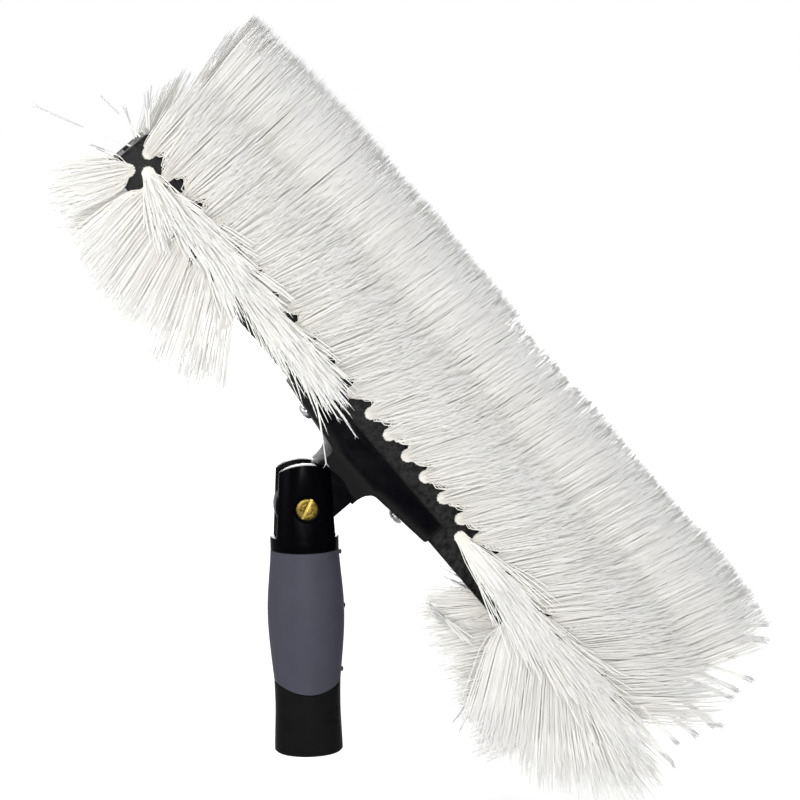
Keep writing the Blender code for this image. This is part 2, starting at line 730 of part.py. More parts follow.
def bristle_rows():
    return [
        face_row("centre_row", 0, 0.0),
        face_row("near_face_row", -1, STAGGER),
        face_row("far_face_row", 1, STAGGER),
        edge_row("near_edge_row", -1),
        edge_row("far_edge_row", 1),
        side_row("near_side_row_upper", -1, -1),
        side_row("near_side_row_lower", -1, 1),
        side_row("far_side_row_upper", 1, -1),
        side_row("far_side_row_lower", 1, 1),
        back_row("near_back_row_upper", -1, -1, NEAR_UPPER_LEANS, NEAR_UPPER_TURNS),
        back_row("near_back_row_lower", -1, 1, NEAR_LOWER_LEANS, NEAR_LOWER_TURNS),
        back_row("far_back_row_upper", 1, -1, FAR_UPPER_LEANS, FAR_UPPER_TURNS),
        back_row("far_back_row_lower", 1, 1, FAR_LOWER_LEANS, FAR_LOWER_TURNS),
    ]


def head_pivot():
    """Empty on the tilt axis that carries every piece of the head."""
    empty = bpy.data.objects.new("head_pivot", None)
    empty.location = (0.0, 0.0, PIVOT_HEIGHT)
    empty.rotation_euler = (0.0, HEAD_TILT, 0.0)
    PARTS.objects.link(empty)
    return empty


clear_scene()
PARTS = new_collection("window_cleaning_brush")
CUTTERS = new_collection("cutters")
HEAD = head_pivot()

# Turns that stand a flat outline upright, or face it along the block
STAND_UP = Matrix(((1, 0, 0, 0), (0, 0, -1, 0), (0, 1, 0, 0), (0, 0, 0, 1)))
FACE_ALONG = Matrix(((0, 0, 1, 0), (1, 0, 0, 0), (0, 1, 0, 0), (0, 0, 0, 1)))

# Collar under the tongue's round end
COLLAR_TOP = PIVOT_HEIGHT - TONGUE_END_RADIUS - TONGUE_GAP
COLLAR_BASE = COLLAR_TOP - COLLAR_HEIGHT
SHOULDER_HEIGHT = COLLAR_TOP - SHOULDER_DROP

# Seats of the fasteners
SADDLE_SCREW_OFFSET = SADDLE_HALF_LENGTH - SADDLE_SCREW_INSET
SCREW_SEAT = -(ear_face(PIVOT_HEIGHT) - PIVOT_HEAD_HEIGHT - 2 * SEAT_GAP)
NUT_SEAT = TONGUE_THICKNESS / 2 + SEAT_GAP + FAR_WALL
SCREW_FACE = BLOCK_BACK - SPOT_FACE_FLOOR

BLACK_PLASTIC = new_material("black_plastic", (0.012, 0.012, 0.014), 0.3)
BLOCK_PLASTIC = new_material("block_plastic", (0.02, 0.02, 0.022), 0.5)
SOFT_GRIP = new_material("soft_grip", (0.13, 0.14, 0.17), 0.55)
BRASS = new_material("brass", (0.55, 0.4, 0.12), 0.3, 1.0)
ZINC_STEEL = new_material("zinc_steel", (0.6, 0.6, 0.62), 0.35, 1.0)
WHITE_NYLON = new_material("white_nylon", (0.88, 0.88, 0.84), 0.45)

make_handle_body()
make_grip_sleeve()
make_pivot_screw()
make_pivot_nut()
make_bracket()
make_bracket_screw("bracket_screw_upper", -SADDLE_SCREW_OFFSET)
make_bracket_screw("bracket_screw_lower", SADDLE_SCREW_OFFSET)
ROWS = bristle_rows()
make_brush_block(ROWS)
for tuft_row in ROWS:
    make_bristle_row(tuft_row)
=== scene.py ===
import math

import bmesh
import bpy
import numpy as np
from mathutils import Matrix, Vector


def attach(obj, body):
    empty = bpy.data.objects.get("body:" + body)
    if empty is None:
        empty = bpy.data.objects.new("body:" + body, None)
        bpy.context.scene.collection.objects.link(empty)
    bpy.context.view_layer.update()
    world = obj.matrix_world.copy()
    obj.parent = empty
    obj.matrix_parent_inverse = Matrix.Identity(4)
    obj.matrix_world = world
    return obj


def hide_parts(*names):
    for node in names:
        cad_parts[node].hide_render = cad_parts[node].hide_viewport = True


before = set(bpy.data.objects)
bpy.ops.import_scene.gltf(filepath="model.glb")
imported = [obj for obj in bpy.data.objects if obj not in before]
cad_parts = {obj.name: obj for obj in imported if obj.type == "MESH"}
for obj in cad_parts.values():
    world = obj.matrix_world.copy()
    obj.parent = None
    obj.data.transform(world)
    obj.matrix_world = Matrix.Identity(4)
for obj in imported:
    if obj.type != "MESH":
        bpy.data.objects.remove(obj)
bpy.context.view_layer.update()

# the head's own frame: origin on the tilt screw, X down the block, Y across it, Z to the bristle front
headPlace = {"pivotHeight": 0.114, "tilt": 51.0}
pivotMatrix = Matrix.Translation((0, 0, headPlace["pivotHeight"]))
headMatrix = pivotMatrix @ Matrix.Rotation(math.radians(headPlace["tilt"]), 4, "Y")
headArray = np.array(headMatrix)


# camera and studio
photoView = {
    "azimuth": -7.8,
    "elevation": 7.42,
    "roll": -1.0,
    "distance": 1.407,
    "target": (0.04505, 0.0, 0.1604),
    "lens": 139.185,
    "sensor": 36,
    "clip": (0.05, 50),
}


def aimCamera(view):
    azimuth, elevation, roll = (math.radians(view[name]) for name in ("azimuth", "elevation", "roll"))
    level = math.cos(elevation)
    back = Vector((math.sin(azimuth) * level, -math.cos(azimuth) * level, math.sin(elevation)))
    right = (-back).cross(Vector((0, 0, 1))).normalized()
    up = right.cross(-back)
    rolledRight = math.cos(roll) * right + math.sin(roll) * up
    rolledUp = -math.sin(roll) * right + math.cos(roll) * up
    data = bpy.data.cameras.new("photoCamera")
    data.lens = view["lens"]
    data.sensor_width = view["sensor"]
    data.clip_start, data.clip_end = view["clip"]
    camera = bpy.data.objects.new("photoCamera", data)
    bpy.context.scene.collection.objects.link(camera)
    turn = Matrix((rolledRight, rolledUp, back)).transposed()
    camera.matrix_world = Matrix.Translation(Vector(view["target"]) + back * view["distance"]) @ turn.to_4x4()
    bpy.context.scene.camera = camera


aimCamera(photoView)
bpy.context.scene.view_settings.view_transform = "Standard"

studio = {
    "worldLight": 0.36,
    "pageLight": 1.0,
    "floorHeight": -0.03,
    "floorHalf": 6.0,
    "paperColor": (0.86, 0.86, 0.86, 1),
    "paperRoughness": 0.9,
    "liftReach": (0.3, 2.0),
    "lift": (0.56, 0.85),
    "lampAim": (0.05, 0, 0.17),
    "lamps": [  # name, place, size, watts
        ("keyLamp", (-0.29, -2.15, 0.45), 0.5, 35.0),
        ("sideLamp", (-1.7, -0.45, 0.35), 0.5, 7.0),
        ("topLamp", (0.1, 0.2, 1.5), 0.8, 2.0),
        ("backLamp", (0.3, 2.1, 0.5), 1.0, 26.0),
    ],
}


# a shader node with its settings and its constant sockets
def addNode(nodes, kind, settings=(), sockets=()):
    node = nodes.new(kind)
    for name, value in dict(settings).items():
        setattr(node, name, value)
    for name, value in dict(sockets).items():
        node.inputs[name].default_value = value
    return node


def addMath(nodes, operation):
    return addNode(nodes, "ShaderNodeMath", {"operation": operation})


# takes low and high to nought and one, or to the ends given
def addRange(nodes, low, high, ends=(0.0, 1.0), way="LINEAR"):
    sockets = {"From Min": low, "From Max": high, "To Min": ends[0], "To Max": ends[1]}
    return addNode(nodes, "ShaderNodeMapRange", {"interpolation_type": way}, sockets)


# camera, glossy and transmission rays see a white page, all others the studio's own light
def makeWorld(values):
    world = bpy.data.worlds.new("studioWorld")
    bpy.context.scene.world = world
    world.use_nodes = True
    nodes, links = world.node_tree.nodes, world.node_tree.links
    nodes.clear()
    white = (1, 1, 1, 1)
    lightPath = addNode(nodes, "ShaderNodeLightPath")
    seen = addMath(nodes, "MAXIMUM")
    seenToo = addMath(nodes, "MAXIMUM")
    lit = addNode(nodes, "ShaderNodeBackground", sockets={"Color": white, "Strength": values["worldLight"]})
    page = addNode(nodes, "ShaderNodeBackground", sockets={"Color": white, "Strength": values["pageLight"]})
    mix = addNode(nodes, "ShaderNodeMixShader")
    out = addNode(nodes, "ShaderNodeOutputWorld")
    links.new(lightPath.outputs["Is Camera Ray"], seen.inputs[0])
    links.new(lightPath.outputs["Is Glossy Ray"], seen.inputs[1])
    links.new(seen.outputs[0], seenToo.inputs[0])
    links.new(lightPath.outputs["Is Transmission Ray"], seenToo.inputs[1])
    links.new(seenToo.outputs[0], mix.inputs["Fac"])
    links.new(lit.outputs[0], mix.inputs[1])
    links.new(page.outputs[0], mix.inputs[2])
    links.new(mix.outputs[0], out.inputs["Surface"])


def makeLamps(values):
    for name, place, size, watts in values["lamps"]:
        lamp = bpy.data.lights.new(name, "AREA")
        lamp.shape = "DISK"
        lamp.size = size
        lamp.energy = watts
        obj = bpy.data.objects.new(name, lamp)
        bpy.context.scene.collection.objects.link(obj)
        obj.location = place
        obj.rotation_euler = (Vector(values["lampAim"]) - Vector(place)).to_track_quat("-Z", "Y").to_euler()


def makeFloor(values):
    bpy.ops.object.select_all(action="DESELECT")
    bpy.ops.mesh.primitive_plane_add(size=2 * values["floorHalf"], location=(0, 0, values["floorHeight"]))
    floor = bpy.context.object
    floor.name = "studioFloor"
    paper = bpy.data.materials.new("floorPaper")
    paper.use_nodes = True
    nodes, links = paper.node_tree.nodes, paper.node_tree.links
    shader = nodes["Principled BSDF"]
    shader.inputs["Base Color"].default_value = values["paperColor"]
    shader.inputs["Roughness"].default_value = values["paperRoughness"]
    shader.inputs["Specular IOR Level"].default_value = 0.0
    # the paper's lift grows away from the object, so that it stays white to the far edge
    place = addNode(nodes, "ShaderNodeTexCoord")
    away = addNode(nodes, "ShaderNodeVectorMath", {"operation": "LENGTH"})
    rise = addRange(nodes, *values["liftReach"], ends=values["lift"])
    lightPath = addNode(nodes, "ShaderNodeLightPath")
    lift = addMath(nodes, "MULTIPLY")
    glow = addNode(nodes, "ShaderNodeEmission")
    both = addNode(nodes, "ShaderNodeAddShader")
    links.new(place.outputs["Object"], away.inputs[0])
    links.new(away.outputs["Value"], rise.inputs["Value"])
    links.new(lightPath.outputs["Is Camera Ray"], lift.inputs[0])
    links.new(rise.outputs["Result"], lift.inputs[1])
    links.new(lift.outputs[0], glow.inputs["Strength"])
    links.new(shader.outputs[0], both.inputs[0])
    links.new(glow.outputs[0], both.inputs[1])
    links.new(both.outputs[0], nodes["Material Output"].inputs["Surface"])
    floor.data.materials.append(paper)


makeWorld(studio)
makeLamps(studio)
makeFloor(studio)
print("studio ready")


# materials: shared groups give the grain, the scuffs and the place masks
def newGroup(name, inputs, outputs):
    group = bpy.data.node_groups.new(name, "ShaderNodeTree")
    for socket in inputs:
        group.interface.new_socket(socket, in_out="INPUT", socket_type="NodeSocketFloat")
    for socket, kind in outputs:
        group.interface.new_socket(socket, in_out="OUTPUT", socket_type=kind)
    nodes = group.nodes
    return group, nodes, group.links, nodes.new("NodeGroupInput"), nodes.new("NodeGroupOutput")


grain = {"detail": 4, "roughness": 0.6, "patchRange": (0.36, 0.64), "bumpDetail": 2, "bumpStrength": 0.6}


# moulded or cast grain: a broad patchiness and a fine bump
def makeGrainGroup(values):
    inputs = ("Patch Scale", "Bump Scale", "Bump Height")
    outputs = (("Patches", "NodeSocketFloat"), ("Normal", "NodeSocketVector"))
    group, nodes, links, fed, given = newGroup("surfaceGrain", inputs, outputs)
    place = addNode(nodes, "ShaderNodeTexCoord")
    broad = {"Detail": values["detail"], "Roughness": values["roughness"]}
    patches = addNode(nodes, "ShaderNodeTexNoise", sockets=broad)
    spread = addRange(nodes, *values["patchRange"])
    fine = addNode(nodes, "ShaderNodeTexNoise", sockets={"Detail": values["bumpDetail"]})
    bump = addNode(nodes, "ShaderNodeBump", sockets={"Strength": values["bumpStrength"]})
    links.new(place.outputs["Object"], patches.inputs["Vector"])
    links.new(place.outputs["Object"], fine.inputs["Vector"])
    links.new(fed.outputs["Patch Scale"], patches.inputs["Scale"])
    links.new(fed.outputs["Bump Scale"], fine.inputs["Scale"])
    links.new(fed.outputs["Bump Height"], bump.inputs["Distance"])
    links.new(fine.outputs["Fac"], bump.inputs["Height"])
    links.new(patches.outputs["Fac"], spread.inputs["Value"])
    links.new(spread.outputs["Result"], given.inputs["Patches"])
    links.new(bump.outputs["Normal"], given.inputs["Normal"])
    return group


scuff = {
    "scale": 240,
    "detail": 3,
    "turn": (0.3, 0.9, 0.2),
    "stretch": (1.0, 1.0, 9.0),
    "streakRange": (0.6, 0.72),
    "spotScale": 60,
    "spotRange": (0.5, 0.68),
}


# fine rub marks: thin stretched streaks that only show here and there
def makeScuffGroup(values):
    group, nodes, links, fed, given = newGroup("rubMarks", ("Scale", "Amount"), (("Marks", "NodeSocketFloat"),))
    place = addNode(nodes, "ShaderNodeTexCoord")
    turn = addNode(nodes, "ShaderNodeMapping", sockets={"Rotation": values["turn"], "Scale": values["stretch"]})
    streaks = addNode(nodes, "ShaderNodeTexNoise", sockets={"Detail": values["detail"]})
    spots = addNode(nodes, "ShaderNodeTexNoise", sockets={"Scale": values["spotScale"]})
    sharp = addRange(nodes, *values["streakRange"])
    where = addRange(nodes, *values["spotRange"])
    both = addMath(nodes, "MULTIPLY")
    scaled = addMath(nodes, "MULTIPLY")
    links.new(place.outputs["Object"], turn.inputs["Vector"])
    links.new(turn.outputs["Vector"], streaks.inputs["Vector"])
    links.new(place.outputs["Object"], spots.inputs["Vector"])
    links.new(fed.outputs["Scale"], streaks.inputs["Scale"])
    links.new(streaks.outputs["Fac"], sharp.inputs["Value"])
    links.new(spots.outputs["Fac"], where.inputs["Value"])
    links.new(sharp.outputs["Result"], both.inputs[0])
    links.new(where.outputs["Result"], both.inputs[1])
    links.new(both.outputs[0], scaled.inputs[0])
    links.new(fed.outputs["Amount"], scaled.inputs[1])
    links.new(scaled.outputs[0], given.inputs["Marks"])
    return group


# a soft mask along the height, from nought at Low to one at High
def makeHeightGroup():
    group, nodes, links, fed, given = newGroup("heightMask", ("Low", "High"), (("Mask", "NodeSocketFloat"),))
    place = addNode(nodes, "ShaderNodeTexCoord")
    split = addNode(nodes, "ShaderNodeSeparateXYZ")
    ramp = addNode(nodes, "ShaderNodeMapRange", {"interpolation_type": "SMOOTHSTEP"})
    links.new(place.outputs["Object"], split.inputs["Vector"])
    links.new(split.outputs["Z"], ramp.inputs["Value"])
    links.new(fed.outputs["Low"], ramp.inputs["From Min"])
    links.new(fed.outputs["High"], ramp.inputs["From Max"])
    links.new(ramp.outputs["Result"], given.inputs["Mask"])
    return group


# how far the surface faces sideways: from the flat sides to the edge, and from the back to the edge
rollSteps = ((0.998, 0.86), (0.1, 0.45))


# picks out the rolled-over edges between the flat sides and the back, by the way the surface faces, as the mask of a
# painted sheen
def makePaintedSheenGroup(rolls):
    group, nodes, links, fed, given = newGroup("paintedSheenBand", (), (("Mask", "NodeSocketFloat"),))
    place = addNode(nodes, "ShaderNodeTexCoord")
    split = addNode(nodes, "ShaderNodeSeparateXYZ")
    level = addMath(nodes, "ABSOLUTE")
    both = addMath(nodes, "MULTIPLY")
    links.new(place.outputs["Normal"], split.inputs["Vector"])
    links.new(split.outputs["Y"], level.inputs[0])
    for index, (low, high) in enumerate(rolls):
        step = addRange(nodes, low, high, way="SMOOTHSTEP")
        links.new(level.outputs[0], step.inputs["Value"])
        links.new(step.outputs["Result"], both.inputs[index])
    links.new(both.outputs[0], given.inputs["Mask"])
    return group


surfaceGrain = makeGrainGroup(grain)
paintedSheenBand = makePaintedSheenGroup(rollSteps)
rubMarks = makeScuffGroup(scuff)
heightMask = makeHeightGroup()


def addGroup(nodes, group, values=()):
    return addNode(nodes, "ShaderNodeGroup", {"node_tree": group}, values)


def mixColors(nodes, links, factor, first, second):
    mix = addNode(nodes, "ShaderNodeMix", {"data_type": "RGBA"})
    links.new(factor, mix.inputs["Factor"])
    for value, socket in ((first, mix.inputs[6]), (second, mix.inputs[7])):
        if isinstance(value, tuple):
            socket.default_value = (*value, 1)
        else:
            links.new(value, socket)
    return mix.outputs[2]


def newMaterial(name, look):
    material = bpy.data.materials.new(name)
    material.use_nodes = True
    nodes, links = material.node_tree.nodes, material.node_tree.links
    shader = nodes["Principled BSDF"]
    shader.inputs["Metallic"].default_value = look.get("metallic", 0.0)
    shader.inputs["Specular IOR Level"].default_value = look.get("specular", 0.5)
    grained = {"Patch Scale": look["patchScale"], "Bump Scale": look["bumpScale"], "Bump Height": look["bumpHeight"]}
    surface = addGroup(nodes, surfaceGrain, grained)
    marks = addGroup(nodes, rubMarks, {"Scale": scuff["scale"], "Amount": look["markAmount"]})
    color = mixColors(nodes, links, surface.outputs["Patches"], look["darkColor"], look["lightColor"])
    if "highColor" in look:  # another colour further up, after highRange
        low, high = look["highRange"]
        mask = addGroup(nodes, heightMask, {"Low": low, "High": high})
        color = mixColors(nodes, links, mask.outputs["Mask"], color, look["highColor"])
    if "paintedSheenColor" in look:  # painted sheen: rolled-over edges get a lighter colour that stands in for the reflection they catch
        band = addGroup(nodes, paintedSheenBand)
        color = mixColors(nodes, links, band.outputs["Mask"], color, look["paintedSheenColor"])
    color = mixColors(nodes, links, marks.outputs["Marks"], color, look["markColor"])
    links.new(color, shader.inputs["Base Color"])
    rough = addRange(nodes, 0.0, 1.0, ends=look["roughness"])
    links.new(surface.outputs["Patches"], rough.inputs["Value"])
    links.new(rough.outputs["Result"], shader.inputs["Roughness"])
    links.new(surface.outputs["Normal"], shader.inputs["Normal"])
    return material, nodes, links, shader


handlePlastic = newMaterial("handlePlastic", {
    "darkColor": (0.0068, 0.0068, 0.007), "lightColor": (0.0085, 0.0085, 0.0088),
    "highColor": (0.0009, 0.0009, 0.0016), "highRange": (0.05, 0.09),
    "markColor": (0.02, 0.02, 0.022), "markAmount": 0.15,
    "specular": 0.014, "roughness": (0.26, 0.4),
    "patchScale": 90, "bumpScale": 2600, "bumpHeight": 0.00003,
})[0]
bracketPlastic = newMaterial("bracketPlastic", {
    "darkColor": (0.0012, 0.0012, 0.0022), "lightColor": (0.0026, 0.0026, 0.0038),
    # the lighter edge colour below is a painted sheen on the rolled-over edges
    "paintedSheenColor": (0.013, 0.013, 0.013),
    "markColor": (0.03, 0.03, 0.032), "markAmount": 0.4,
    "specular": 0.03, "roughness": (0.24, 0.38),
    "patchScale": 120, "bumpScale": 1800, "bumpHeight": 0.00005,
})[0]
blockPlastic = newMaterial("blockPlastic", {
    "darkColor": (0.0, 0.0, 0.0), "lightColor": (0.022, 0.022, 0.022),
    "markColor": (0.07, 0.07, 0.07), "markAmount": 0.6,
    "specular": 0.1, "roughness": (0.38, 0.62),
    "patchScale": 330, "bumpScale": 900, "bumpHeight": 0.00035,
})[0]
gripRubber = newMaterial("gripRubber", {
    "darkColor": (0.05, 0.051, 0.069), "lightColor": (0.056, 0.057, 0.077),
    "markColor": (0.13, 0.135, 0.16), "markAmount": 0.12,
    "specular": 0.12, "roughness": (0.5, 0.62),
    "patchScale": 70, "bumpScale": 3800, "bumpHeight": 0.00004,
})[0]
screwBrass = newMaterial("screwBrass", {
    "darkColor": (0.055, 0.038, 0.008), "lightColor": (0.17, 0.122, 0.028),
    "markColor": (0.36, 0.26, 0.07), "markAmount": 0.5,
    "metallic": 1.0, "roughness": (0.3, 0.46),
    "patchScale": 900, "bumpScale": 2400, "bumpHeight": 0.00006,
})[0]
# fresh cut metal, made brighter still as a painted reflection in the slot
slotBrassWithHighlight = newMaterial("slotBrassWithHighlight", {
    "darkColor": (0.46, 0.33, 0.07), "lightColor": (0.62, 0.46, 0.12),
    "markColor": (0.3, 0.2, 0.045), "markAmount": 0.4,
    "metallic": 1.0, "roughness": (0.3, 0.42),
    "patchScale": 900, "bumpScale": 2400, "bumpHeight": 0.00004,
})[0]
zincSteel = newMaterial("zincSteel", {
    "darkColor": (0.42, 0.42, 0.44), "lightColor": (0.66, 0.66, 0.68),
    "markColor": (0.25, 0.25, 0.26), "markAmount": 0.5,
    "metallic": 1.0, "roughness": (0.24, 0.4),
    "patchScale": 600, "bumpScale": 2200, "bumpHeight": 0.00004,
})[0]

nylon = {
    "darkColor": (0.975, 0.972, 0.96), "lightColor": (0.99, 0.99, 0.99),
    "markColor": (0.9, 0.89, 0.85), "markAmount": 0.1,
    "specular": 0.25, "roughness": (0.4, 0.55),
    "patchScale": 40, "bumpScale": 6000, "bumpHeight": 0.000004,
    # painted shade along each strand: a darker cream for the roots in the depth, near white over the lit middle, a
    # painted grey shade at the tips, and a darker painted grey shade for strays that stand alone
    "paintedRootShade": (0.93, 0.905, 0.83, 1),
    "paintedStrayShade": (0.62, 0.62, 0.63, 1),
    "stops": ((0.45, (0.985, 0.972, 0.93, 1)), (0.86, (0.99, 0.98, 0.955, 1)), (0.97, (0.92, 0.92, 0.915, 1))),
}


# nylon takes its colour, painted shade included, from each strand's own value
def makeNylon(look):
    material, nodes, links, shader = newMaterial("bristleNylon", look)
    shade = addNode(nodes, "ShaderNodeAttribute", {"attribute_name": "strandShade"})
    ramp = addNode(nodes, "ShaderNodeValToRGB")
    stops = ramp.color_ramp.elements
    stops[0].color, stops[1].color = look["paintedRootShade"], look["paintedStrayShade"]
    for place, color in look["stops"]:
        stops.new(place).color = color
    links.new(shade.outputs["Fac"], ramp.inputs["Fac"])
    blend = addNode(nodes, "ShaderNodeMix", {"data_type": "RGBA", "blend_type": "MULTIPLY"}, {"Factor": 1.0})
    links.new(shader.inputs["Base Color"].links[0].from_socket, blend.inputs[6])
    links.new(ramp.outputs["Color"], blend.inputs[7])
    links.new(blend.outputs[2], shader.inputs["Base Color"])
    return material


bristleNylon = makeNylon(nylon)
print("materials ready")


# hard pieces
def finishPiece(obj, body, slot, material, *nodes):
    obj.data.materials.clear()
    obj.data.materials.append(material)
    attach(obj, body)
    if nodes:
        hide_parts(*nodes)


def chooseOnly(obj):
    bpy.ops.object.select_all(action="DESELECT")
    obj.select_set(True)
    bpy.context.view_layer.objects.active = obj


def addModifier(obj, kind, **values):
    chooseOnly(obj)
    modifier = obj.modifiers.new(kind, kind)
    for name, value in values.items():
        setattr(modifier, name, value)
    bpy.ops.object.modifier_apply(modifier=modifier.name)


def bevelEdges(obj, width, segments, degrees, **values):
    limit = {"limit_method": "ANGLE", "angle_limit": math.radians(degrees)}
    addModifier(obj, "BEVEL", width=width, segments=segments, **limit, **values)


def applyPlace(obj):
    chooseOnly(obj)
    bpy.ops.object.transform_apply(location=True, rotation=True, scale=True)


def joinInto(obj, extra):
    chooseOnly(extra)
    obj.select_set(True)
    bpy.context.view_layer.objects.active = obj
    bpy.ops.object.join()


def mergeAndTurnOut(obj, near):
    shape = bmesh.new()
    shape.from_mesh(obj.data)
    bmesh.ops.remove_doubles(shape, verts=shape.verts, dist=near)
    bmesh.ops.recalc_face_normals(shape, faces=shape.faces)
    shape.to_mesh(obj.data)
    shape.free()


def smoothOff(obj, degrees):
    chooseOnly(obj)
    bpy.ops.object.shade_smooth_by_angle(angle=math.radians(degrees))


rounding = {"near": 1e-6, "flatAngle": 0.6, "segments": 3, "edgeAngle": 32, "smoothAngle": 38}


# a CAD node's own form, merged, its flat faces joined and its edges rounded
def roundedCopy(node, name, width):
    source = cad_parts[node]
    mesh = source.data.copy()
    mesh.transform(source.matrix_world)
    obj = bpy.data.objects.new(name, mesh)
    bpy.context.scene.collection.objects.link(obj)
    mergeAndTurnOut(obj, rounding["near"])
    shape = bmesh.new()
    shape.from_mesh(mesh)
    flat = math.radians(rounding["flatAngle"])
    bmesh.ops.dissolve_limit(shape, angle_limit=flat, verts=shape.verts, edges=shape.edges)
    shape.to_mesh(mesh)
    shape.free()
    bevelEdges(obj, width, rounding["segments"], rounding["edgeAngle"], miter_outer="MITER_ARC")
    smoothOff(obj, rounding["smoothAngle"])
    return obj


# turns an open profile of (radius, height) pairs about Z
def turnedPiece(name, profile, steps):
    points = [(radius, 0.0, height) for radius, height in profile]
    mesh = bpy.data.meshes.new(name)
    mesh.from_pydata(points, [(i, i + 1) for i in range(len(points) - 1)], [])
    obj = bpy.data.objects.new(name, mesh)
    bpy.context.scene.collection.objects.link(obj)
    chooseOnly(obj)
    bpy.ops.object.mode_set(mode="EDIT")
    bpy.ops.mesh.select_all(action="SELECT")
    bpy.ops.mesh.spin(steps=steps, angle=2 * math.pi, center=(0, 0, 0), axis=(0, 0, 1))
    bpy.ops.object.mode_set(mode="OBJECT")
    mergeAndTurnOut(obj, 2 * rounding["near"])
    return obj


def boxCutter(size, place, turn):
    bpy.ops.object.select_all(action="DESELECT")
    bpy.ops.mesh.primitive_cube_add(size=1, location=place, rotation=(0, 0, turn))
    cutter = bpy.context.object
    cutter.scale = size
    return cutter


def cutWith(obj, cutter):
    addModifier(obj, "BOOLEAN", operation="DIFFERENCE", object=cutter, solver="EXACT")
    bpy.data.objects.remove(cutter)


edgeRounds = {"handle": 0.00045, "grip": 0.0003, "nut": 0.00035, "bracket": 0.0004}

handleShell = roundedCopy("handle_body", "handle_shell", edgeRounds["handle"])
finishPiece(handleShell, "handle", "black_plastic", handlePlastic, "handle_body")

grip = {
    "smoothAngle": 50,
    "nubRadius": 0.0008,
    "nubScale": (0.8, 0.9, 1.5),
    "nubHeights": (0.0918, 0.0668, 0.0372),
    "nubReach": (0.0163, 0.0176, 0.01605),
}


def makeGrip(values):
    sleeve = roundedCopy("grip_sleeve", "grip_cover", edgeRounds["grip"])
    addModifier(sleeve, "SUBSURF", levels=1, render_levels=1)
    # small mould nubs stand on the parting line
    for height, reach in zip(values["nubHeights"], values["nubReach"]):
        bpy.ops.object.select_all(action="DESELECT")
        size = {"segments": 12, "ring_count": 8, "radius": values["nubRadius"]}
        bpy.ops.mesh.primitive_uv_sphere_add(location=(reach, 0, height), **size)
        nub = bpy.context.object
        nub.scale = values["nubScale"]
        applyPlace(nub)
        joinInto(sleeve, nub)
    smoothOff(sleeve, values["smoothAngle"])
    finishPiece(sleeve, "handle", "soft_grip", gripRubber, "grip_sleeve")


makeGrip(grip)

pivotScrew = {
    "headRadius": 0.005,
    "headHeight": 0.003,
    "rim": 0.0005,
    "rimShare": 0.3,
    "underRim": 0.0003,
    "grooveAt": (0.5, 0.53, 0.56),
    "grooveDepth": 0.00003,
    "shankRadius": 0.003,
    "shankEnd": -0.0265,
    "slotLength": 0.03,
    "slotWidth": 0.0013,
    "slotDepth": 0.0013,
    "slotTurn": 62,
    "slotMargin": 0.0002,
    "edge": 0.00012,
    "seat": -0.011594,
    "steps": 64,
}


def makePivotScrew(values):
    top, wide, rim, under = (values[name] for name in ("headHeight", "headRadius", "rim", "underRim"))
    shank, end = values["shankRadius"], values["shankEnd"]
    # a fine turned ring lies round the middle of the head's face
    inner, groove, outer = (wide * share for share in values["grooveAt"])
    profile = [(0, top), (inner, top), (groove, top - values["grooveDepth"]), (outer, top)]
    profile += [(wide - rim, top), (wide - rim * values["rimShare"], top - rim * values["rimShare"]), (wide, top - rim)]
    profile += [(wide, under), (wide - under, 0), (shank, 0), (shank, end + rim), (shank - rim, end), (0, end)]
    screw = turnedPiece("pivot_screw_turned", profile, values["steps"])
    slotSize = (values["slotLength"], values["slotWidth"], values["slotDepth"] * 2)
    cutWith(screw, boxCutter(slotSize, (0, 0, top), math.radians(values["slotTurn"])))
    bevelEdges(screw, values["edge"], segments=2, degrees=40)
    seatMatrix = Matrix.Translation((0, values["seat"], headPlace["pivotHeight"]))
    screw.data.transform(seatMatrix @ Matrix.Rotation(math.pi / 2, 4, "X"))
    smoothOff(screw, degrees=30)
    finishPiece(screw, "handle", "brass", screwBrass, "pivot_screw")
    # the slot's cut faces are fresh metal, and their brighter colour is partly a painted reflection
    screw.data.materials.append(slotBrassWithHighlight)
    margin = values["slotMargin"]
    for face in screw.data.polygons:
        middle = face.center - Vector((0, 0, headPlace["pivotHeight"]))
        isDeep = values["seat"] - top + margin < middle.y < values["seat"] - margin
        if isDeep and math.hypot(middle.x, middle.z) < wide - margin:
            face.material_index = 1


makePivotScrew(pivotScrew)

nutPiece = roundedCopy("pivot_nut", "pivot_nut_chamfered", edgeRounds["nut"])
finishPiece(nutPiece, "handle", "zinc_steel", zincSteel, "pivot_nut")

bracketShell = roundedCopy("bracket", "bracket_shell", edgeRounds["bracket"])
finishPiece(bracketShell, "head", "black_plastic", bracketPlastic, "bracket")

panScrew = {
    "headRadius": 0.004,
    "headHeight": 0.0024,
    "domePower": 0.8,
    "domeAngles": range(0, 88, 8),
    "underRim": 0.0002,
    "shankRadius": 0.00175,
    "shankLength": 0.018,
    "crossReach": 1.1,
    "crossWidth": 0.001,
    "crossDepth": 0.0012,
    "crossTurns": (0.4, 0.4 + math.pi / 2),
    "offset": 0.032,
    "seat": 0.0285,
    "steps": 40,
}


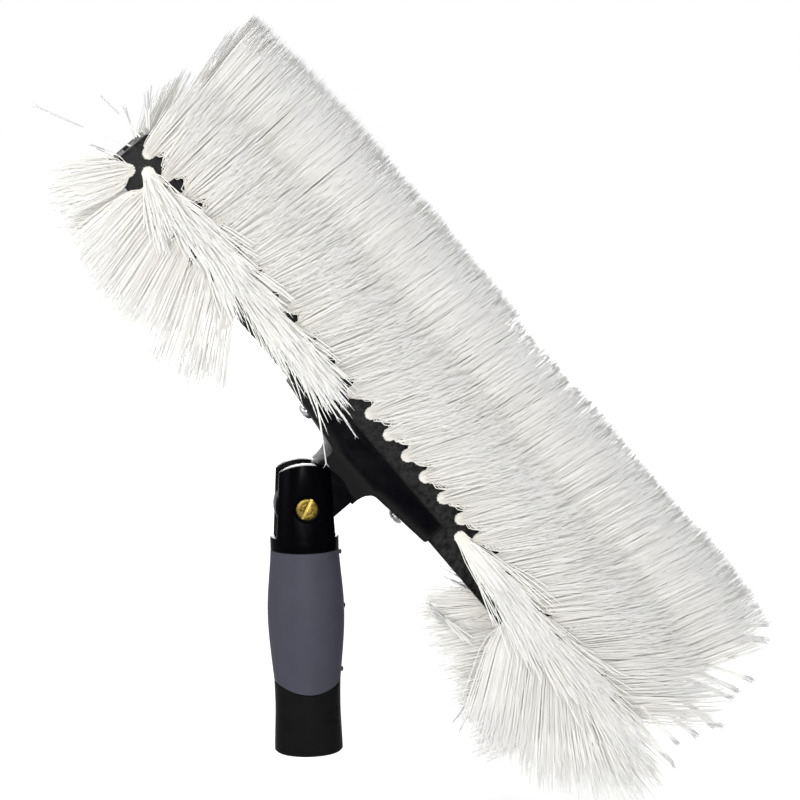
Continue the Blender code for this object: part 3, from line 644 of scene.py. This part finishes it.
def makePanScrew(name, node, along, values):
    wide, high, under = values["headRadius"], values["headHeight"], values["underRim"]
    shank, length = values["shankRadius"], values["shankLength"]
    angles = [math.radians(angle) for angle in values["domeAngles"]]
    profile = [(wide * math.sin(angle), high * math.cos(angle) ** values["domePower"]) for angle in angles]
    profile += [(wide, under), (wide - under, 0), (shank, 0), (shank, -length), (0, -length - shank)]
    screw = turnedPiece(name, profile, values["steps"])
    crossSize = (wide * values["crossReach"], values["crossWidth"], values["crossDepth"] * 2)
    for turn in values["crossTurns"]:
        cutWith(screw, boxCutter(crossSize, (0, 0, high), turn))
    place = headMatrix @ Matrix.Translation((along, 0, values["seat"])) @ Matrix.Rotation(math.pi, 4, "X")
    screw.data.transform(place)
    smoothOff(screw, degrees=35)
    finishPiece(screw, "head", "zinc_steel", zincSteel, node)


makePanScrew("pan_screw_upper", "bracket_screw_upper", -panScrew["offset"], panScrew)
makePanScrew("pan_screw_lower", "bracket_screw_lower", panScrew["offset"], panScrew)

block = {
    "length": 0.35,
    "width": 0.036,
    "thickness": 0.0235,
    "back": 0.0321,
    "round": 0.0018,
    "endInset": 0.002,
    "endSink": 0.0003,
    "nubRadius": 0.0014,
    "nubReach": 0.0008,
    "nubEdge": 0.0003,
}


def makeBlock(values):
    middle = values["back"] + values["thickness"] / 2
    bpy.ops.object.select_all(action="DESELECT")
    bpy.ops.mesh.primitive_cube_add(size=1, location=(0, 0, middle))
    bar = bpy.context.object
    bar.name = "block_bar"
    bar.scale = (values["length"], values["width"], values["thickness"])
    applyPlace(bar)
    bevelEdges(bar, values["round"], segments=4, degrees=30)
    # each end carries a shallow sunk panel
    bpy.ops.object.mode_set(mode="EDIT")
    for side in (-1, 1):
        bpy.ops.mesh.select_all(action="DESELECT")
        shape = bmesh.from_edit_mesh(bar.data)
        for face in shape.faces:
            face.select_set(face.normal.x * side > 0.99)
        bmesh.update_edit_mesh(bar.data)
        bpy.ops.mesh.inset(thickness=values["endInset"])
        bpy.ops.transform.translate(value=(-side * values["endSink"], 0, 0))
    bpy.ops.object.mode_set(mode="OBJECT")
    # and a small round nub in its middle
    for side in (-1, 1):
        place = (side * (values["length"] / 2 - values["nubReach"]), 0, middle)
        size = {"radius": values["nubRadius"], "depth": 4 * values["nubReach"]}
        bpy.ops.object.select_all(action="DESELECT")
        bpy.ops.mesh.primitive_cylinder_add(vertices=20, rotation=(0, math.pi / 2, 0), location=place, **size)
        nub = bpy.context.object
        applyPlace(nub)
        bevelEdges(nub, values["nubEdge"], segments=2, degrees=40)
        joinInto(bar, nub)
    bar.data.transform(headMatrix)
    smoothOff(bar, degrees=35)
    finishPiece(bar, "head", "block_plastic", blockPlastic, "brush_block")


makeBlock(block)
print("hard pieces ready")


# bristles: one filament is modelled, then every tuft is drawn with bent copies of it
filament = {
    "sides": 3,
    "ringHeights": (0.0, 0.07, 0.12, 0.17, 0.23, 0.36, 0.65, 0.93),
    "radius": 0.00022,
    "taper": 0.2,
    "prongTurns": (0.4, 3.3),
    "prongAngles": (0, 2.094, 4.189),
    "prongWidth": 0.7,
    "prongSink": 0.004,
    "forkSpread": 3.6,
    "ownShade": 0.2,
    "tipShade": 0.84,
    "lastShade": 0.97,
}


def selectTopEdges(obj):
    bpy.ops.mesh.select_all(action="DESELECT")
    shape = bmesh.from_edit_mesh(obj.data)
    top = max(v.co.z for v in shape.verts)
    for edge in shape.edges:
        if all(v.co.z > top - 1e-5 for v in edge.verts):
            edge.select_set(True)
    bmesh.update_edit_mesh(obj.data)


def modelFilament(values):
    heights = values["ringHeights"]
    bottom = {"radius": 1, "depth": heights[1], "location": (0, 0, heights[1] / 2)}
    bpy.ops.object.select_all(action="DESELECT")
    bpy.ops.mesh.primitive_cylinder_add(vertices=values["sides"], end_fill_type="NOTHING", **bottom)
    shaft = bpy.context.object
    bpy.ops.object.mode_set(mode="EDIT")
    for low, high in zip(heights[1:], heights[2:]):
        selectTopEdges(shaft)
        bpy.ops.mesh.extrude_region_move(TRANSFORM_OT_translate={"value": (0, 0, high - low)})
    selectTopEdges(shaft)
    bpy.ops.mesh.edge_face_add()
    bpy.ops.object.mode_set(mode="OBJECT")
    points = np.array([shaft.matrix_world @ v.co for v in shaft.data.vertices])
    faces = [list(p.vertices) for p in shaft.data.polygons]
    bpy.data.objects.remove(shaft)
    # two fine prongs stand on the shaft's tip, as the split ends do
    wide, foot = values["prongWidth"], heights[-1] - values["prongSink"]
    for turn in values["prongTurns"]:
        start = len(points)
        lean = np.array([math.cos(turn), math.sin(turn)]) * values["forkSpread"]
        ring = [(wide * math.cos(a), wide * math.sin(a), foot) for a in values["prongAngles"]]
        points = np.vstack([points, ring, [[lean[0], lean[1], 1.0]]])
        faces += [[start, start + 1, start + 3], [start + 1, start + 2, start + 3], [start + 2, start, start + 3]]
    return points, faces


filamentPoints, filamentFaces = modelFilament(filament)


def spanVectors(axis, guide):
    side = guide - axis * np.sum(axis * guide, axis=-1, keepdims=True)
    side /= np.linalg.norm(side, axis=-1, keepdims=True)
    return side, np.cross(axis, side)


# each strand leaves its hole in line with its tuft, opens out over the flare and then runs on to its tip
def strandPath(t, strands):
    bloom = np.clip((t - strands["straight"]) / (strands["flare"] - strands["straight"]), 0, 1)
    bloom = bloom * bloom * (3 - 2 * bloom)
    drift = strands["early"] * bloom + (1 - strands["early"]) * np.clip(t - strands["straight"], 0, 1)
    reach = strands["lengths"][:, None, None]
    path = strands["roots"][:, None, :] + strands["aims"][:, None, :] * t[None, :, None] * reach
    path = path + strands["spreads"][:, None, :] * drift[None, :, None] * reach
    return path + strands["sags"][:, None, :] * (t ** 2)[None, :, None] * reach


# the filament's own side vectors for each strand, turned by chance about its run
def strandSides(strands, random):
    heading = strands["aims"] + strands["spreads"]
    heading = heading / np.linalg.norm(heading, axis=1, keepdims=True)
    side, across = spanVectors(heading, np.array([[0.31, 0.52, 0.8]]))
    spin = random.uniform(0, 2 * math.pi, len(heading))[:, None]
    return side * np.cos(spin) + across * np.sin(spin), -side * np.sin(spin) + across * np.cos(spin)


def strandMesh(name, places, count):
    loops = np.concatenate([np.array(face) for face in filamentFaces])
    sizes = np.array([len(face) for face in filamentFaces])
    allLoops = (loops[None, :] + np.arange(count)[:, None] * len(filamentPoints)).ravel()
    allSizes = np.tile(sizes, count)
    starts = np.concatenate([[0], np.cumsum(allSizes)[:-1]])
    mesh = bpy.data.meshes.new(name)
    mesh.vertices.add(len(places))
    mesh.vertices.foreach_set("co", places.astype(np.float32).ravel())
    mesh.loops.add(len(allLoops))
    mesh.loops.foreach_set("vertex_index", allLoops.astype(np.int32))
    mesh.polygons.add(len(allSizes))
    mesh.polygons.foreach_set("loop_start", starts.astype(np.int32))
    mesh.polygons.foreach_set("use_smooth", np.ones(len(allSizes), dtype=bool))
    mesh.update(calc_edges=True)
    return mesh


def drawStrands(name, strands, random):
    t = filamentPoints[:, 2]
    centre = strandPath(t, strands)
    side, across = strandSides(strands, random)
    isTip = np.where(t > filament["ringHeights"][-1] + 0.001, 1.0, 0.0)[None, :]
    fork = isTip * (strands["forks"][:, None] - 1) + 1
    width = strands["thickness"][:, None] * (1 - filament["taper"] * t[None, :]) * fork
    offset = side[:, None, :] * (filamentPoints[:, 0] * width)[..., None]
    offset += across[:, None, :] * (filamentPoints[:, 1] * width)[..., None]
    places = (centre + offset).reshape(-1, 3)
    places = places @ headArray[:3, :3].T + headArray[:3, 3]
    # each strand is shaded partly as itself and partly as the outer side of the whole mass
    own = side[:, None, :] * filamentPoints[:, 0][None, :, None]
    own = own + across[:, None, :] * filamentPoints[:, 1][None, :, None]
    own /= np.linalg.norm(own, axis=2, keepdims=True) + 1e-9
    shading = own * strands["own"] + np.array(strands["outward"])
    shading /= np.linalg.norm(shading, axis=2, keepdims=True) + 1e-9
    shading = (shading.reshape(-1, 3) @ headArray[:3, :3].T).astype(np.float32)
    mesh = strandMesh(name, places, len(centre))
    # fade runs from the painted root shade up to the painted grey at the tips; darker pushes loose strands on into the
    # painted grey stray shade
    fade = filament["ownShade"] * strands["shades"][:, None] + filament["tipShade"] * t[None, :]
    fade = np.clip(fade, 0, filament["lastShade"]) + strands["darker"][:, None]
    shadeLayer = mesh.attributes.new("strandShade", "FLOAT", "POINT")
    shadeLayer.data.foreach_set("value", fade.astype(np.float32).ravel())
    mesh.normals_split_custom_set_from_vertices(shading)
    mesh.materials.append(bristleNylon)
    obj = bpy.data.objects.new(name, mesh)
    bpy.context.scene.collection.objects.link(obj)
    return obj


tufts = {
    "pitch": 0.01275,
    "offset": -0.0023,
    "holeRadius": 0.0029,
    "sink": 0.0014,
    "goldenTurn": 2.39996,
    "locks": 12,
    "lengthGain": 0.4,
    "lengthScatter": 0.006,
    "thick": (0.85, 1.1),
    "shades": (0.5, 0.9),
    "forks": (0.3, 1.4),
    # the whole brush narrows and leans at its two ends, where the strands end on a trimmed outline
    "upperLean": math.tan(math.radians(9)),
    "lowerLean": math.tan(math.radians(8)),
    "leanPower": 3,
    "upperTrim": 0.06,
    "trimPower": 5,
    "upperReach": 0.0075,
    "lowerReach": 0.012,
    "upperRagged": 0.0025,
    "lowerRagged": 0.005,
    "widest": 0.0795,
}


def endLean(along):
    share = along / (block["length"] / 2)
    most = tufts["upperLean"] if share < 0 else tufts["lowerLean"]
    return math.copysign(abs(share) ** tufts["leanPower"], share) * most


# places of the holes along the block, counted from its middle
def holeLine(first, last, shift):
    return [tufts["offset"] + (k + shift) * tufts["pitch"] for k in range(first, last + 1)]


def turnedAim(lean, side, degrees):
    return lean, side * math.cos(math.radians(degrees)), -math.sin(math.radians(degrees))


# one row for each CAD row: face is 0 for the front and -1 or 1 for a side, middle is across or above the back.
# fan is the spread along and across the row, in degrees, of which loosen is kept; stray, clump and wander
# scatter single strands, locks and whole tufts, and ragged scatters their lengths. A strand stays straight,
# then takes the early share of its spread by the flare. outward and own weigh the mass's and its own shading.
fullLook = {
    "fan": (9.5, 11), "loosen": 0.95, "early": 0.42, "thick": 0.92, "full": True,
    "stray": 0.009, "ragged": 0.015, "wander": 0.008, "clump": 0.012,
}
faceLook = {"length": 0.0785, "straight": 0.05, "flare": 0.24}
edgeLook = {"length": 0.0705, "straight": 0.1, "flare": 0.29}
nearLook = {"outward": (0, -4.0, 1.2), "own": 0.45}
farLook = {"outward": (0, 0.25, 0.25), "own": 0.9}


def fullRow(name, face, middle, shift, splay, strands):
    holes = holeLine(-13, 13 if shift == 0 else 12, shift)
    aims = [(endLean(x), math.sin(math.radians(splay)), math.cos(math.radians(splay))) for x in holes]
    looks = {**fullLook, **(edgeLook if face else faceLook), **(nearLook if splay < 0 else farLook)}
    return {**looks, "name": name, "face": face, "middle": middle, "holes": holes, "aims": aims, "strands": strands}


sideLook = {
    "middle": 0.0122, "backLean": -0.06, "length": 0.062, "strands": 120,
    "fan": (7, 6), "loosen": 0.7, "straight": 0.06, "flare": 0.5, "early": 0.3, "thick": 1.15, "full": False,
    "stray": 0.035, "ragged": 0.1, "wander": 0.045, "clump": 0.08,
}


# leans lie along the block, from the upper to the lower tuft
def sideRow(name, face, end, leans):
    holes = holeLine(-13, -5, 0.5) if end < 0 else holeLine(4, 12, 0.5)
    aims = [(-face * lean, face, sideLook["backLean"]) for lean in leans]
    shading = {"outward": (0, face * 3.0, 0), "own": 0.45 if face < 0 else 0.9}
    return {**sideLook, **shading, "name": name, "face": face, "holes": holes, "aims": aims}


backLook = {
    "middle": 0.0062, "length": 0.0665, "strands": 150,
    "loosen": 0.9, "straight": 0.04, "flare": 0.32, "early": 0.45, "thick": 1.0, "full": False,
    "stray": 0.02, "ragged": 0.05, "wander": 0.015, "clump": 0.035,
}
nearBackLook = {"fan": (10, 9), "outward": (0, -2.6, -0.9), "own": 0.45}
farBackLook = {"fan": (7, 7), "outward": (0, -0.6, -0.2), "own": 0.9}


# leans lie along the block and turns towards its back, from the upper to the lower tuft
def backRow(name, face, end, leans, turns):
    holes = holeLine(-13, -8, 0) if end < 0 else holeLine(8, 13, 0)
    aims = [turnedAim(lean, face, turn) for lean, turn in zip(leans, turns)]
    looks = {**backLook, **(nearBackLook if face < 0 else farBackLook)}
    return {**looks, "name": name, "face": face, "holes": holes, "aims": aims}


# full rows: name, face, middle, shift in pitches, splay in degrees and strands in each tuft
bristleRows = [
    fullRow("centre_row", 0, 0.0, 0, 0, 140),
    fullRow("near_face_row", 0, -0.0105, 0.5, -30, 154),
    fullRow("far_face_row", 0, 0.0105, 0.5, 30, 130),
    fullRow("near_edge_row", -1, 0.0178, 0, -62, 149),
    fullRow("far_edge_row", 1, 0.0178, 0, 62, 120),
    sideRow("near_side_row_upper", -1, -1, (0.46, 0.5, 0.54, 0.6, 0.64, 0.66, 0.6, 0.5, 0.36)),
    sideRow("near_side_row_lower", -1, 1, (0.48, 0.48, 0.46, 0.44, 0.4, 0.34, 0.27, 0.2, 0.12)),
    sideRow("far_side_row_upper", 1, -1, (0.0, 0.1, 0.2, 0.3, 0.4, 0.46, 0.46, 0.46, 0.46)),
    sideRow("far_side_row_lower", 1, 1, (0.46, 0.46, 0.46, 0.46, 0.44, 0.42, 0.4, 0.38, 0.36)),
    backRow("near_back_row_upper", -1, -1, (-0.3, 0.03, 0.13, 0.26, 0.42, 0.46), (26, 40, 47, 49, 50, 44)),
    backRow("near_back_row_lower", -1, 1, (0.38, 0.44, 0.56, 0.52, 0.42, 0.26), (45, 47, 44, 29, 14, 1)),
    backRow("far_back_row_upper", 1, -1, (-0.16, -0.22, -0.26, -0.31, -0.37, -0.4), (32, 33, 37, 43, 48, 49)),
    backRow("far_back_row_lower", 1, 1, (-0.12, -0.12, -0.13, -0.13, -0.14, -0.14), (28, 33, 38, 43, 49, 54)),
]
alongAxis = np.array([1.0, 0.0, 0.0])


# a hole's middle on the block, the direction across its row and the way that its face looks
def holePlace(row, hole):
    if row["face"] == 0:
        middle = np.array([hole, row["middle"], block["back"] + block["thickness"]])
        return middle, np.array([0.0, 1.0, 0.0]), np.array([0.0, 0.0, 1.0])
    middle = np.array([hole, row["face"] * block["width"] / 2, block["back"] + row["middle"]])
    return middle, np.array([0.0, 0.0, 1.0]), np.array([0.0, float(row["face"]), 0.0])


def makeTuft(row, hole, aim, random):
    count, radius = row["strands"], tufts["holeRadius"]
    aim = np.array(aim, float)
    aim /= np.linalg.norm(aim)
    # the roots fill the hole in a spiral
    ring = radius * np.sqrt((np.arange(count) + 0.5) / count)
    spin = np.arange(count) * tufts["goldenTurn"] + random.uniform(0, 6.28)
    a, b = ring * np.cos(spin), ring * np.sin(spin)
    middle, other, normal = holePlace(row, hole)
    root = middle + alongAxis * a[:, None] + other * b[:, None]
    root -= aim * (tufts["sink"] / abs(aim @ normal))
    side, across = (v[0] for v in spanVectors(aim[None, :], alongAxis[None, :]))
    if across @ other < 0:
        across = -across
    spreadA = np.tan(np.radians(row["fan"][0])) * a / radius + random.normal(0, row["stray"], count)
    spreadB = np.tan(np.radians(row["fan"][1])) * b / radius + random.normal(0, row["stray"], count)
    # strands gather into a few locks, each with its own direction and length
    locks = random.normal(0, row["clump"], (tufts["locks"], 2))
    lock = random.integers(0, tufts["locks"], count)
    spreadA = spreadA * row["loosen"] + locks[lock, 0]
    spreadB = spreadB * row["loosen"] + locks[lock, 1]
    spread = side * spreadA[:, None] + across * spreadB[:, None]
    tuftAim = aim + random.normal(0, row["wander"], 3)
    length = row["length"] * (1 + tufts["lengthGain"] * (np.linalg.norm(aim + spread, axis=1) - 1))
    strandRagged = np.abs(random.normal(0, row["ragged"] * 0.5, count))
    lockRagged = np.abs(random.normal(0, row["ragged"], tufts["locks"]))[lock]
    length = length * (1 - strandRagged - lockRagged + random.normal(0, tufts["lengthScatter"]))
    half = block["length"] / 2
    length = length * (1 - tufts["upperTrim"] * max(0, -hole / half) ** tufts["trimPower"] * row["full"])
    wide = np.abs(root[:, 1] + (tuftAim[1] + spread[:, 1]) * length)
    length = length * np.minimum(1, tufts["widest"] / wide)
    if row["full"]:  # the two ends are trimmed to the leaning outline
        tip = root[:, 0] + (tuftAim[0] + spread[:, 0]) * length
        upper = -(half + tufts["upperReach"]) + np.abs(random.normal(0, tufts["upperRagged"], count))
        lower = half + tufts["lowerReach"] - np.abs(random.normal(0, tufts["lowerRagged"], count))
        spread[:, 0] += (np.clip(tip, upper, lower) - tip) / length
    sags = random.normal(0, row["stray"] * 0.5, (count, 3))
    return {"roots": root, "aims": np.tile(tuftAim, (count, 1)), "spreads": spread, "sags": sags, "lengths": length}


def makeRow(row, seed):
    random = np.random.default_rng(seed)
    drawn = [makeTuft(row, hole, aim, random) for hole, aim in zip(row["holes"], row["aims"])]
    strands = {name: np.concatenate([tuft[name] for tuft in drawn]) for name in drawn[0]}
    strands.update({name: row[name] for name in ("straight", "flare", "early", "outward", "own")})
    total = len(strands["lengths"])
    strands["darker"] = np.zeros(total)
    strands["thickness"] = filament["radius"] * row["thick"] * random.uniform(*tufts["thick"], total)
    strands["shades"] = random.uniform(*tufts["shades"], total)
    strands["forks"] = random.uniform(*tufts["forks"], total) * row["thick"]
    obj = drawStrands(row["name"] + "_tufts", strands, random)
    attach(obj, "head")
    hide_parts(row["name"])


firstSeed = 40
for index, bristleRow in enumerate(bristleRows):
    makeRow(bristleRow, firstSeed + index)
print("bristle rows ready")


# loose strands that stand out of the mass: places and lengths in millimetres in the head's own frame,
# turn is degrees from down the block towards the bristle front, wide its scatter
looseStrands = [
    {"near": (-168, -4, 50), "turn": 210, "tilt": 0, "length": 62, "count": 1, "wide": 0},
    {"near": (-172, -2, 52), "turn": 180, "tilt": 0, "length": 34, "count": 1, "wide": 0},
    {"near": (-173, 14, 50), "turn": 156, "tilt": 4, "length": 20, "count": 2, "wide": 3},
    {"near": (-170, 10, 40), "turn": 202, "tilt": 0, "length": 17, "count": 2, "wide": 3},
    {"near": (-173, 14, 57), "turn": 142, "tilt": 6, "length": 18, "count": 3, "wide": 9},
    {"near": (-174, 0, 92), "turn": 122, "tilt": 0, "length": 16, "count": 5, "wide": 8},
    {"near": (-36, -24, 40.4), "turn": -5, "tilt": -2, "length": 27, "count": 1, "wide": 0},
    {"near": (-36, -24, 34.5), "turn": -30, "tilt": -2, "length": 30, "count": 1, "wide": 0},
    {"near": (126, 20, 5), "turn": -72, "tilt": 0, "length": 25, "count": 2, "wide": 4},
    {"near": (106, 25, 17), "turn": 186, "tilt": 0, "length": 26, "count": 5, "wide": 7},
]
looseLook = {
    "jitter": 1.2,
    "lengths": (0.85, 1.05),
    "sag": 0.05,
    "thick": (1.0, 1.3),
    "singleThick": 1.9,
    # the two darker values push loose strands into the painted grey shade of the nylon
    "singleDarker": 0.4,
    "lockDarker": 0.13,
    "lockSag": 0.3,
    "shades": (0.4, 0.9),
    "forks": (0.8, 1.8),
    "path": {"straight": 0.0, "flare": 0.3, "early": 0.5, "outward": (0, -0.8, 0), "own": 1.0},
}
# spiky locks past the lower end, from the bristle front round to the back
endLocks = {
    "count": 15,
    "first": (160, -24, 102),
    "last": (164, -50, 43),
    "jitter": 2,
    "turns": (50, -6),
    "turnScatter": 5,
    "length": 36,
    "lengths": (0.7, 1.1),
    "strands": 16,
    "strandJitter": 0.45,
    "strandScatter": 0.8,
    "strandLengths": (0.9, 1.0),
    "tilt": -6,
    "tiltScatter": 1,
}


def looseStrand(random, near, turn, tilt, length):
    turn, tilt = math.radians(turn), math.radians(tilt)
    aim = np.array([math.cos(turn) * math.cos(tilt), math.sin(tilt), math.sin(turn) * math.cos(tilt)])
    return np.array(near) / 1000, aim, length / 1000, random.normal(0, looseLook["sag"], 3)


def drawSingles(random):
    drawn = []
    for group in looseStrands:
        for index in range(group["count"]):
            place = np.array(group["near"]) + random.normal(0, looseLook["jitter"], 3) * (group["wide"] > 0)
            turn = group["turn"] + random.normal(0, 1) * group["wide"]
            length = group["length"] * random.uniform(*looseLook["lengths"])
            drawn.append(looseStrand(random, place, turn, group["tilt"], length))
    return drawn


def drawLocks(random, values):
    drawn = []
    first, last = np.array(values["first"]), np.array(values["last"])
    for lock in range(values["count"]):
        share = lock / (values["count"] - 1)
        middle = first * (1 - share) + last * share + random.normal(0, values["jitter"], 3)
        turn = values["turns"][0] * (1 - share) + values["turns"][1] * share + random.normal(0, values["turnScatter"])
        reach = values["length"] * random.uniform(*values["lengths"])
        for index in range(values["strands"]):
            place = middle + random.normal(0, values["strandJitter"], 3)
            strandTurn = turn + random.normal(0, values["strandScatter"])
            tilt = values["tilt"] + random.normal(0, values["tiltScatter"])
            length = reach * random.uniform(*values["strandLengths"])
            drawn.append(looseStrand(random, place, strandTurn, tilt, length))
    return drawn


def makeLoose(look, seed):
    random = np.random.default_rng(seed)
    drawn = drawSingles(random)
    singles = len(drawn)
    drawn += drawLocks(random, endLocks)
    roots, aims, lengths, sags = (np.array(column) for column in zip(*drawn))
    total = len(lengths)
    strands = {"roots": roots, "aims": aims, "spreads": np.zeros((total, 3)), "sags": sags, "lengths": lengths}
    strands.update(look["path"])
    strands["thickness"] = filament["radius"] * random.uniform(*look["thick"], total)
    strands["thickness"][:singles] *= look["singleThick"]
    strands["darker"] = np.where(np.arange(total) < singles, look["singleDarker"], look["lockDarker"])
    strands["sags"][singles:] *= look["lockSag"]
    strands["shades"] = random.uniform(*look["shades"], total)
    strands["forks"] = random.uniform(*look["forks"], total)
    obj = drawStrands("loose_strands", strands, random)
    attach(obj, "head")


looseSeed = 77
makeLoose(looseLook, looseSeed)
print("loose strands ready")
